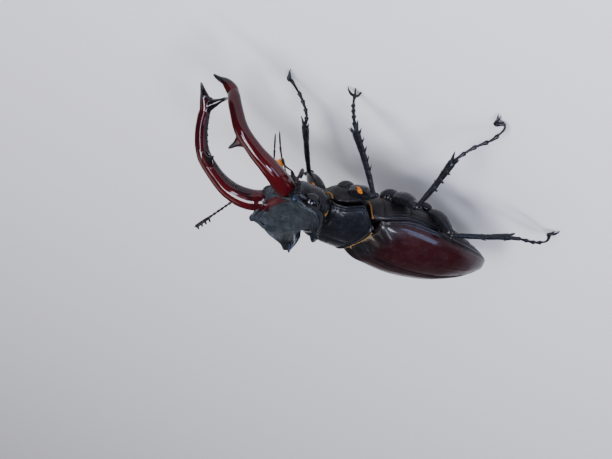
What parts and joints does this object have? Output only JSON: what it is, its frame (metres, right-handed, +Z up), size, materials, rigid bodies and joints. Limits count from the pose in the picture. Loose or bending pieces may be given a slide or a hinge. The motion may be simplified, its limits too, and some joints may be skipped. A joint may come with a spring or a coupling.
{
  "type": "stag beetle",
  "caption": "Life-size still model of a male stag beetle standing with its front raised, with antler-like mandibles, a crested head, glossy wing cases and spined legs.",
  "frame": {"origin": "middle of the bounding box at the level of the feet", "axes": "+Y backward from head to tail tip, +X to the animal's left, +Z up"},
  "size_m": [0.0658, 0.0792, 0.0358],
  "materials": {
    "elytra_shell": "polished dark burgundy chitin, nearly black toward base, margins and tip",
    "mandible_shell": "polished dark red-brown chitin with black teeth and tips",
    "head_shell": "fine-grained satin black chitin",
    "pronotum_shell": "punctured satin black chitin",
    "under_shell": "punctured black chitin with short golden hair",
    "leg_shell": "glossy black chitin",
    "feeler_shell": "glossy black-brown chitin",
    "eye": "polished black, finely faceted",
    "mouth_brush": "dense golden-orange hair"
  },
  "bodies": {
    "root": {"abdomen": "under_shell", "antenna_club_left": "feeler_shell", "antenna_club_right": "feeler_shell", "antenna_scape_left": "feeler_shell", "antenna_scape_right": "feeler_shell", "elytron_left": "elytra_shell", "elytron_right": "elytra_shell", "eye_left": "eye", "eye_right": "eye", "front_coxa_left": "leg_shell", "front_coxa_right": "leg_shell", "front_femur_left": "leg_shell", "front_femur_right": "leg_shell", "front_tarsus_left": "leg_shell", "front_tarsus_right": "leg_shell", "front_tibia_left": "leg_shell", "front_tibia_right": "leg_shell", "head": "head_shell", "hind_coxa_left": "leg_shell", "hind_coxa_right": "leg_shell", "hind_femur_left": "leg_shell", "hind_femur_right": "leg_shell", "hind_tarsus_left": "leg_shell", "hind_tarsus_right": "leg_shell", "hind_tibia_left": "leg_shell", "hind_tibia_right": "leg_shell", "mandible_left": "mandible_shell", "mandible_right": "mandible_shell", "mid_coxa_left": "leg_shell", "mid_coxa_right": "leg_shell", "mid_femur_left": "leg_shell", "mid_femur_right": "leg_shell", "mid_tarsus_left": "leg_shell", "mid_tarsus_right": "leg_shell", "mid_tibia_left": "leg_shell", "mid_tibia_right": "leg_shell", "mouthparts": "mouth_brush", "neck": "pronotum_shell", "palp_left": "feeler_shell", "palp_right": "feeler_shell", "pronotum": "pronotum_shell", "prosternum": "under_shell", "scutellum": "pronotum_shell", "thorax_under": "under_shell"}
  },
  "joints": []
}
